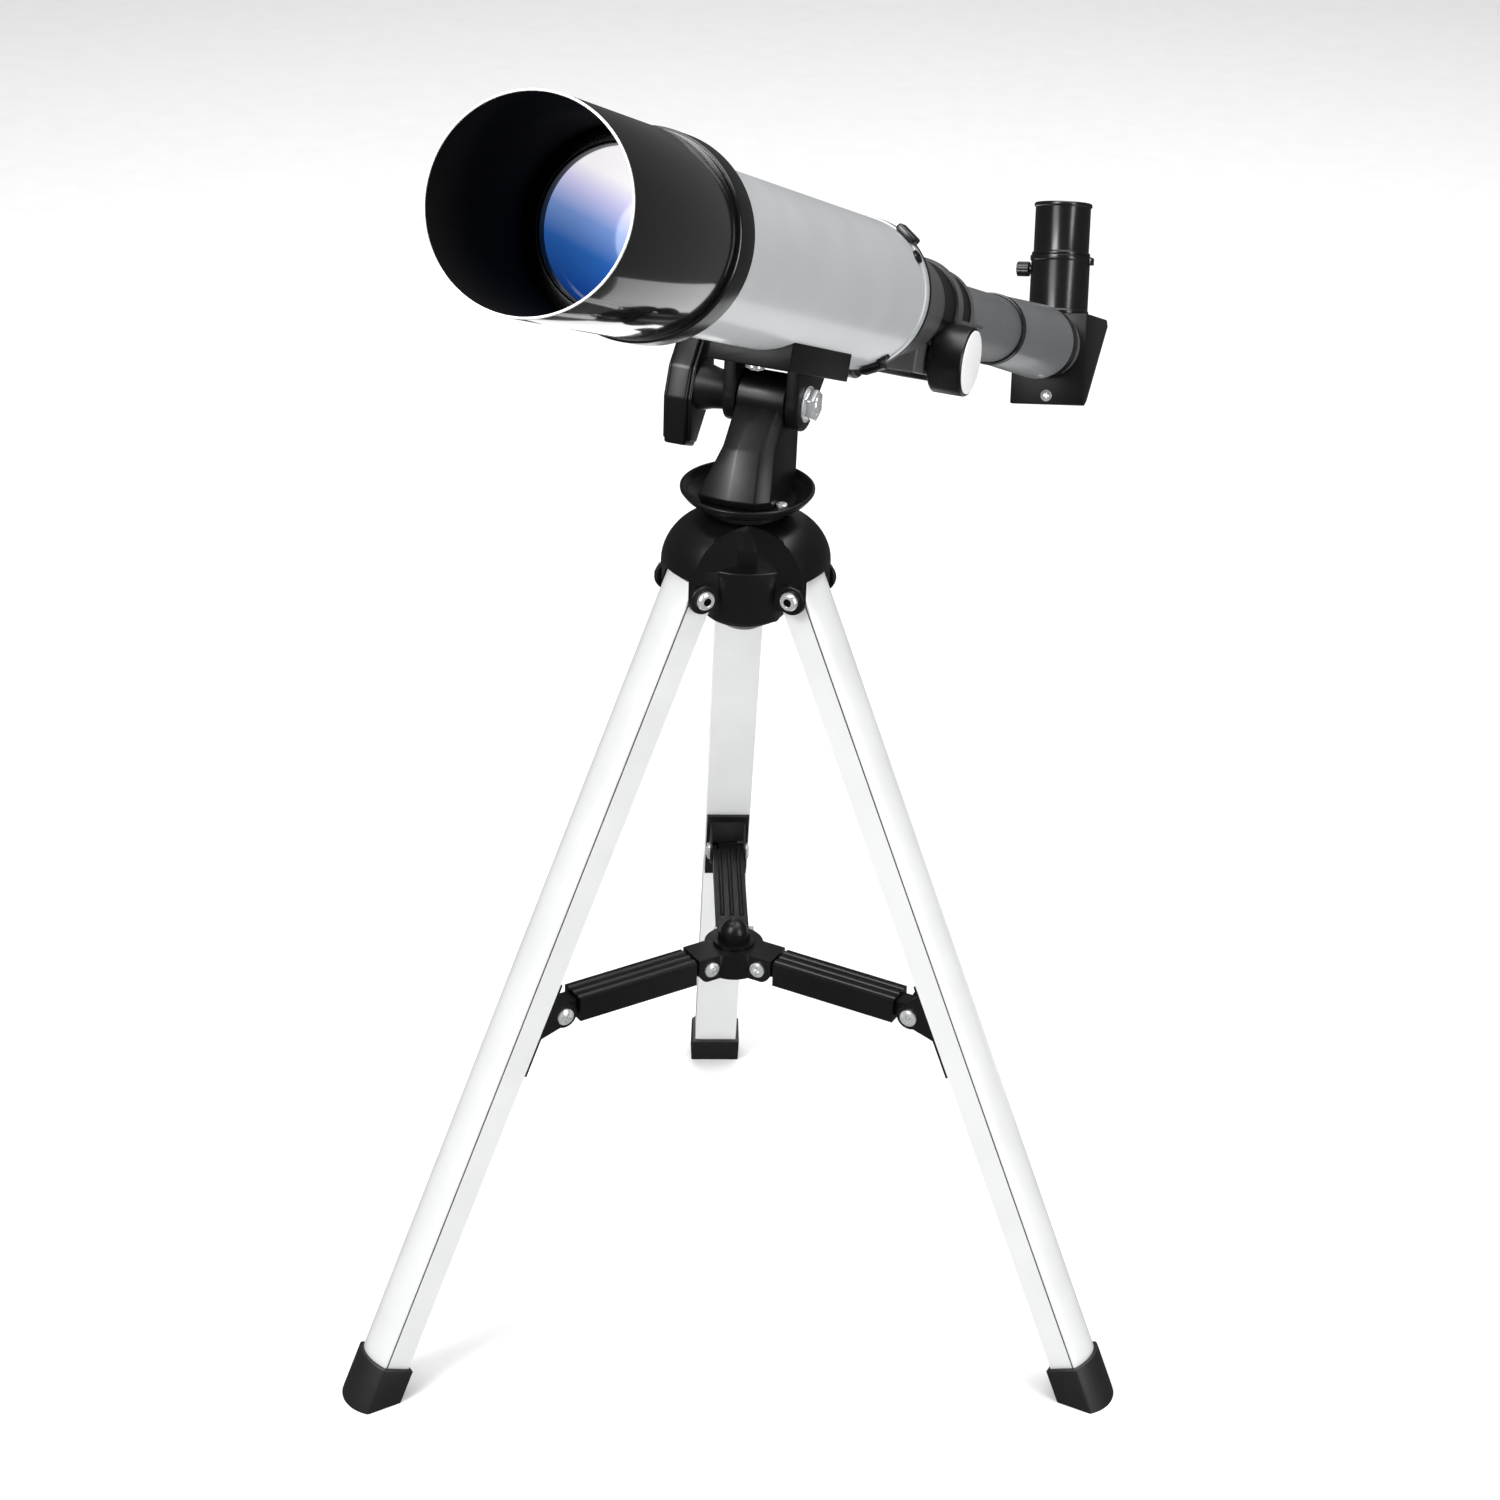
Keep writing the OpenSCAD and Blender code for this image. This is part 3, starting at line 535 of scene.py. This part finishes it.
def thumbscrew():
    """Ribbed head on a plain shank."""
    steps = 48
    outline = []
    for step in range(steps):
        angle = 2 * math.pi * step / steps
        r = 3.4 if step % 4 in (0, 1) else 3.15
        outline.append((r * math.cos(angle), r * math.sin(angle)))
    head = slab(outline, -20, -14.4, 0.2, 1, 60)
    shank = turned(lathe([(-17, 0), (-17, 1.5), (-12.6, 1.5), (-12.6, 0)], 0.2, 32), 90, "Z")
    add_piece("thumb_knob", shifted(merged(head, shank), HOLDER_S, 0, 35), DIAGONAL, "thumbscrew",
              "knob_plastic", ["thumbscrew"])


def eyepiece():
    body = lathe([
        (17.4, 11), (17.4, BARREL_R - SLIP_FIT), (41.2, BARREL_R - SLIP_FIT), (41.2, 13.3), (42.4, 13.3),
        (42.8, 12.6), (63, 12.6), (63.4, 13.2), (64.5, 13.2), (65, 12.8), (65, 8), (62.4, 5.6), (61, 5.6),
        (61, 9.2), (52, 9.2), (52, 11)
    ], 0.2, 128)
    add_piece("eyepiece_body", shifted(upright(body), HOLDER_S), DIAGONAL, "eyepiece", "black_metal",
              ["eyepiece"])


# ---------------------------------------------------------------- saddle and yoke

def saddle():
    block = slab([(-38, -32.9), (27.7, -32.9), (27.7, -18.9), (-38, -18.9)], -15.2, 15.2, 0.5)
    hollow = lathe([(-80, 0), (-80, TUBE_R + FIT), (80, TUBE_R + FIT), (80, 0)], 0, 192)
    add_piece("saddle_block", combined(block, hollow, "DIFFERENCE"), TUBE, "telescope", "black_plastic",
              ["saddle"])
    ear_r = 9.8
    around = [math.radians(a) for a in range(180, 361, 10)]
    outline = [(13.5, -32.5)]
    outline += [(ear_r * math.cos(a), -AXIS_RISE + ear_r * math.sin(a)) for a in reversed(around)]
    outline += [(-16, -32.5)]
    for side, name in ((1, "right"), (-1, "left")):
        ear = slab(outline, *sorted((side * 9.2, side * 14)), 0.7)
        add_piece(f"saddle_ear_{name}", ear, TUBE, "telescope", "black_plastic")


def tilt_bolt():
    head = slab(hexagon(5.8, 12), 14.6, 18, 0.5)
    flange = turned(lathe([(14.05, 3), (14.05, 6.4), (14.7, 6.4), (14.7, 3)], 0.2, 64), 90, "Z")
    end = turned(lathe([(17.9, 0), (17.9, 3.4), (18.6, 2.9), (18.6, 0)], 0.3, 48), 90, "Z")
    shaft = turned(lathe([(-31, 0), (-31, 3), (15, 3), (15, 0)], 0.3, 48), 90, "Z")
    bolt = shifted(merged(head, flange, end, shaft), 0, 0, -AXIS_RISE)
    add_piece("tilt_bolt_head", bolt, TUBE, "telescope", "steel", ["tilt_bolt"])


def tilt_knob():
    """Eight-sided paddle with chamfered rims on a tapering boss."""
    def paddle(inset, low, high, width):
        corners = [(5 - inset, 21.5 - inset), (11 - inset, 5.5), (11 - inset, -5.5),
                   (5 - inset, -21.5 + inset)]
        return slab(corners + [(-x, -z) for x, z in corners], low, high, width, 3, 20)

    grip = combined(paddle(0, -34, -26, 0.9), paddle(1.6, -35.2, -24.8, 0.6), "UNION")
    boss = lathe([(-26.5, 3.1), (-26.5, 9.2), (-19.5, 7.2), (-14.4, 6.6), (-14.4, 3.1)], 0.5, 72)
    nut = slab(hexagon(4.6), -35.4, -34, 0.3)
    knob = shifted(merged(grip, turned(boss, 90, "Z"), nut), 0, 0, -AXIS_RISE)
    add_piece("tilt_knob", knob, TUBE, "wing_knob", "black_plastic", ["wing_knob"])


def yoke():
    """Bowl on the hub with a leaning post that carries the tilt pivot."""
    bowl = lathe([
        (327.6, 0), (327.6, 14.9), (329.4, 14.9), (332.8, 21.8), (335, 23.5), (336, 23.5), (336, 22.4),
        (333.8, 20.6), (332, 17), (332, 0)
    ], 0.4, 160)
    add_piece("head_bowl", upright(bowl), YOKE, "yoke", "black_plastic", ["yoke"])
    pivot = YOKE.inverted() @ joint_at("tilt")
    levels = [  # height; front, ridge and back in X; left, ridge, front right and right in Y
        (331.8, 11.6, 12.4, -15.5, -12.6, -2, 7, 12), (335.3, 13, 14.2, -16, -13.5, -2, 7.5, 12),
        (350, 2.4, 3.6, -24.5, -8.8, -3, 5, 9.2), (357, -4.6, -3.6, -27, -8.8, -2, 6, 8.8),
        (pivot.z, pivot.x + 8.6, pivot.x + 9, pivot.x - 9, -8.8, 0, 7, 8.8)
    ]
    post = bmesh.new()
    rings = []
    for z, front, ridge, back, left, middle, near, right in levels:
        corners = [(back, left), (front, left), (ridge, middle), (front, near), (front - 4, right),
                   (back, right)]
        rings.append([post.verts.new((x, y, z)) for x, y in corners])
    post.faces.new(rings[0])
    post.faces.new(reversed(rings[-1]))
    for ring, other in zip(rings, rings[1:]):
        for n in range(len(ring)):
            after = (n + 1) % len(ring)
            post.faces.new((ring[n], ring[after], other[after], other[n]))
    bmesh.ops.recalc_face_normals(post, faces=post.faces[:])
    post = bevel(post, 0.5, 2, 8)
    knuckle = turned(lathe([(-8.8, 0), (-8.8, 9.3), (8.8, 9.3), (8.8, 0)], 0.5, 96), 90, "Z")
    knuckle = shifted(knuckle, pivot.x, 0, pivot.z)
    add_piece("head_post", merged(post, knuckle), YOKE, "yoke", "black_plastic")


# ---------------------------------------------------------------- tripod

HUB_TOP, DOME_EDGE, DOME_R, DOME_ROUND, CORE_R = 326.7, 309.7, 30, 17, 15.5
HINGE_R, HINGE_Z, LEG_W = 24.3, 302.9, 17.2
LEG_TURNS = (210, 330, 90)  # degrees about the hub for legs 1, 2 and 3
HINGE_SIDES = (1, -1, 1)  # the side each leg's hinge screw is on
LEG_IN, LEG_OUT, CROWN_R, LEG_LENGTH, LEG_WALL = 6.9, 6.3, 14.6, 320, 1.2
GROOVE_DEPTH = 0.55
SHOULDER_DROP = 0.6  # from the crown's edge down to the groove line
BRACE_WINDOWS = ((6.5, -6.6, 9.2), (4.1, -19.6, 0))  # half width, bottom and top from the brace pivot
HOLLOW_BELOW, HOLLOW_ABOVE = 60, 45  # ends of the hollow from the brace pivot


def hub():
    """Three domed lobes over the legs, on a round core with an apron, and the bosses of the hinges."""
    quarter = [math.radians(7.5 * n) for n in range(13)]
    curve = [(DOME_R - DOME_ROUND + DOME_ROUND * math.cos(a), DOME_EDGE + DOME_ROUND * math.sin(a))
             for a in quarter]
    dome = upright(lathe([(280, 0), (280, DOME_R)] + [(z, r) for r, z in curve] + [(HUB_TOP, 0)], 0, 144))
    lobes = None
    side = [(0, 297), (HINGE_R, 297), (HINGE_R + 5.9, 301), (HINGE_R + 5.9, 340), (0, 340)]
    for turn in LEG_TURNS:
        lobe = turned(slab(side, -11.3, 11.3, 0.6), turn, "Z")
        lobes = lobe if lobes is None else combined(lobes, lobe, "UNION")
    body = combined(dome, lobes, "INTERSECT")
    core = upright(lathe([(283.6, 0), (283.6, 6.8), (285, 8.6), (288.4, 14.2), (290, CORE_R), (318, CORE_R),
                          (HUB_TOP, 13), (HUB_TOP, 0)], 0.5, 128))
    apron = upright(lathe([(291.6, 0), (291.6, 19.6), (293, 20.6), (312, 21.5), (312, 0)], 0.5, 128))
    body = combined(combined(body, core, "UNION"), apron, "UNION")
    for turn in LEG_TURNS:
        pocket = slab([(CORE_R + 1, 270), (60, 270), (60, DOME_EDGE), (CORE_R + 1, DOME_EDGE)],
                      -LEG_W / 2 - 0.35, LEG_W / 2 + 0.35, 0, 1, 179)
        body = combined(body, turned(pocket, turn, "Z"), "DIFFERENCE")
    add_piece("hub_casting", bevel(body, 0.35, 2, 35), TRIPOD, "tripod_hub", "black_plastic", ["hub"],
              crease=40)
    for turn in LEG_TURNS:
        for side in (1, -1):
            boss = turned(lathe([(11, 2.1), (11, 5.6), (12.8, 5.3), (12.8, 2.1)], 0.4, 64), 90 * side, "Z")
            boss = turned(shifted(boss, HINGE_R, 0, HINGE_Z), turn, "Z")
            end = "a" if side > 0 else "b"
            add_piece(f"hinge_boss_{turn}_{end}", boss, TRIPOD, "tripod_hub", "black_plastic")


def hinge_screws():
    """Pan-head screws of the leg hinges, each with painted shade, matt black, in its shallow driver recess."""
    screws = []
    shaded_recesses = []
    for turn, side in zip(LEG_TURNS, HINGE_SIDES):
        head = lathe([(-12, 0), (-12, 1.9), (12.86, 1.9), (12.86, 3.35), (13.9, 3.35), (14.8, 2.7),
                      (14.8, 1.5), (13.9, 1.3), (13.9, 0)], 0.25, 48)
        head = turned(shifted(turned(head, 90 * side, "Z"), HINGE_R, 0, HINGE_Z), turn, "Z")
        screws.append(head)
        about = Matrix.Rotation(math.radians(turn), 3, "Z")
        shaded_recesses.append(about @ Vector((HINGE_R, side * 14.2, HINGE_Z)))

    # painted shade: the faces of each screw's recess are matt black
    def in_painted_recess_shade(at):
        return any((at - recess).length < 1.6 for recess in shaded_recesses)

    add_piece("hinge_screw_set", merged(*screws), TRIPOD, "tripod_hub", "steel", ["hinge_screws"],
              extra=(MATTE_BLACK, in_painted_recess_shade))


def leg_outline(grow=0.0, groove=0.0):
    """Leg tube's cross-section as (out, across) points, grown by the given amount."""
    half = LEG_W / 2 + grow
    crown = CROWN_R + grow
    edge = LEG_OUT - CROWN_R + math.sqrt(crown ** 2 - half ** 2) - SHOULDER_DROP
    inner = -LEG_IN - grow
    points = [(inner, -half), (edge - groove, -half)]
    if groove:
        points += [(edge - groove, -half + groove), (edge, -half + groove), (edge, -half)]
    arc = math.asin(half / crown)
    for n in range(11):
        a = -arc + 2 * arc * n / 10
        points.append((LEG_OUT - CROWN_R + crown * math.cos(a), crown * math.sin(a)))
    if groove:
        points += [(edge, half), (edge, half - groove), (edge - groove, half - groove)]
    points += [(edge - groove, half), (inner, half)]
    return points


def column(outline, low, high, width, bits=2, sharper=30):
    """Outline of (x, y) points from Z = low to Z = high."""
    return turned(slab([(x, -y) for x, y in outline], low, high, width, bits, sharper), 90, "X")


def leg(number):
    """Leg tube with its groove, its brace windows and the hollow behind them, painted shade in the groove and
    inside the hollow, and its rubber foot.
    """
    where = leg_place(number)
    tube = column(leg_outline(groove=GROOVE_DEPTH), -LEG_LENGTH, 3.5, 0)
    # Windows first, then the hollow, and leg 1's pivot for every leg. The hollow's cut is fragile: with
    # leg 3's own pivot, 0.00017 mm away, it leaves the leg solid and raises no error, and 7 of 40 random
    # shifts of up to 0.00001 mm fail too. When model.glb changes, look whether the legs are still hollow.
    # If they aren't, the brace arms cut into them in the middle of the fold.
    pivot = leg_place(1).inverted() @ (sum(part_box("bracket_screws_1"), Vector()) / 2)
    for half, low, high in BRACE_WINDOWS:
        window = slab([(-LEG_IN - 2, pivot.z + low), (-LEG_IN + 1.4, pivot.z + low),
                       (-LEG_IN + 1.4, pivot.z + high), (-LEG_IN - 2, pivot.z + high)],
                      -half, half, 0, 1, 179)
        tube = combined(tube, window, "DIFFERENCE")
    hollow = column(leg_outline(-LEG_WALL), pivot.z - HOLLOW_BELOW, pivot.z + HOLLOW_ABOVE, 0)
    tube = combined(tube, hollow, "DIFFERENCE")
    groove_top = LEG_OUT - CROWN_R + math.sqrt(CROWN_R ** 2 - (LEG_W / 2) ** 2) - SHOULDER_DROP

    # Painted shade: the groove's faces and the inside of the hollow behind the windows are dark grey.
    def in_painted_shade(at):
        in_groove = abs(at.x - groove_top + 0.27) < 0.28 and abs(at.y) < LEG_W / 2 - 0.02
        from_crown = math.hypot(at.x - LEG_OUT + CROWN_R, at.y)
        behind_wall = abs(at.y) < LEG_W / 2 - LEG_WALL + 0.05 and from_crown < CROWN_R - 0.6
        inside = at.x > -LEG_IN + 0.05 and behind_wall and at.z < 3
        return at.z > -LEG_LENGTH + 1 and (in_groove or inside)

    add_piece(f"leg_{number}_tube", tube, where, f"leg_{number}", "leg_aluminium", [f"leg_tube_{number}"],
              extra=(LEG_SHADE_GREY, in_painted_shade))
    sleeve = column(leg_outline(1.5), -LEG_LENGTH - 20, -LEG_LENGTH + 7, 0.9, 3)
    floor_at = where.inverted() @ Vector((where.translation.x, where.translation.y, 0))
    down = (where.inverted().to_3x3() @ UP).normalized()
    everything = sleeve.verts[:] + sleeve.edges[:] + sleeve.faces[:]
    bmesh.ops.bisect_plane(sleeve, geom=everything, plane_co=floor_at, plane_no=-down, clear_outer=True)
    bmesh.ops.holes_fill(sleeve, edges=[e for e in sleeve.edges if e.is_boundary])
    add_piece(f"leg_{number}_foot", sleeve, where, f"leg_{number}", "rubber", [f"foot_{number}"])


# ---------------------------------------------------------------- floor, light, camera

def floor():
    data = bpy.data.meshes.new("floor")
    half = 6
    corners = [(-half, -half, 0), (half, -half, 0), (half, half, 0), (-half, half, 0)]
    data.from_pydata(corners, [], [(0, 1, 2, 3)])
    data.materials.append(surface("pale_floor", (0.92, 0.92, 0.92), 0.9, relief=0.01, specular=0))
    piece = bpy.data.objects.new("floor", data)
    piece.location.z = cad_low.z
    piece.visible_glossy = False
    bpy.context.scene.collection.objects.link(piece)


def area_light(name, at, aim, size, power):
    data = bpy.data.lights.new(name, "AREA")
    data.shape = "RECTANGLE"
    data.size, data.size_y = size
    data.energy = power
    lamp = bpy.data.objects.new(name, data)
    lamp.location = at
    lamp.rotation_euler = (Vector(aim) - Vector(at)).to_track_quat("-Z", "Y").to_euler()
    bpy.context.scene.collection.objects.link(lamp)


def reflector(name, corner, wide, deep, glow):
    """Flat panel just above the floor that only shows as a reflection in glossy surfaces."""
    data = bpy.data.meshes.new(name)
    x, y, z = corner
    corners = [(x, y, z), (x + wide, y, z), (x + wide, y + deep, z), (x, y + deep, z)]
    data.from_pydata(corners, [], [(0, 1, 2, 3)])
    material = bpy.data.materials.new(name)
    nodes, links = nodes_of(material)
    nodes.remove(nodes["Principled BSDF"])
    panel = nodes.new("ShaderNodeEmission")
    panel.inputs["Strength"].default_value = glow
    links.new(panel.outputs["Emission"], nodes["Material Output"].inputs["Surface"])
    data.materials.append(material)
    piece = bpy.data.objects.new(name, data)
    piece.visible_camera = False
    piece.visible_diffuse = False
    piece.visible_shadow = False
    bpy.context.scene.collection.objects.link(piece)


def studio():
    """Soft light overhead, a box left and a strip right of the camera, a box on the head, two reflectors."""
    area_light("overhead", (0.3, 0.1, 2.4), (0, 0, 0.2), (2.4, 2.4), 76)
    area_light("left_box", (-1.25, -1.35, 1.3), (0, -0.1, 0.4), (0.9, 1.2), 15)
    area_light("right_strip", (1.5, -1.6, 0.8), (0, 0, 0.35), (0.4, 1.5), 18)
    area_light("head_box", (-0.95, -0.92, 1.5), (0, -0.1, 0.35), (0.7, 0.5), 15)
    reflector("side_band", (0.13, 0.02, 0.012), 0.19, 0.4, 0.9)
    reflector("under_band", (-0.12, 0.19, 0.012), 0.165, 0.5, 1.6)
    world = bpy.data.worlds.new("studio")
    bpy.context.scene.world = world
    world.use_nodes = True
    world.node_tree.nodes["Background"].inputs["Color"].default_value = (1, 1, 1, 1)
    world.node_tree.nodes["Background"].inputs["Strength"].default_value = 0.1


CAMERA_AT = (-0.0489, -1.0466, 0.7976)  # metres from the tripod's foot, fitted to the photo
CAMERA_LENS = 79.15


def camera():
    """Standing in front of the tripod at about 0.8 m height, looking down at it."""
    yaw, pitch, roll = math.radians(2.88), math.radians(-28.36), math.radians(1.82)
    ahead = Vector((math.sin(yaw) * math.cos(pitch), math.cos(yaw) * math.cos(pitch), math.sin(pitch)))
    level = ahead.cross(UP).normalized()
    above = level.cross(ahead)
    right = level * math.cos(roll) + above * math.sin(roll)
    data = bpy.data.cameras.new("camera")
    data.sensor_width = 36
    data.lens = CAMERA_LENS
    cam = bpy.data.objects.new("camera", data)
    turn = Matrix((right, right.cross(ahead), -ahead)).transposed().to_4x4()
    cam.matrix_world = Matrix.Translation(FLOOR_AT + Vector(CAMERA_AT)) @ turn
    bpy.context.scene.collection.objects.link(cam)
    bpy.context.scene.camera = cam


# ---------------------------------------------------------------- assembly

hood()
lens_cell()
objective()
main_tube()
focuser()
focus_knobs()
drawtube()
diagonal()
eyepiece_holder()
thumbscrew()
eyepiece()
saddle()
tilt_bolt()
tilt_knob()
yoke()
hub()
hinge_screws()
for number in (1, 2, 3):
    leg(number)
floor()
studio()
camera()
bpy.context.scene.view_settings.view_transform = "Standard"
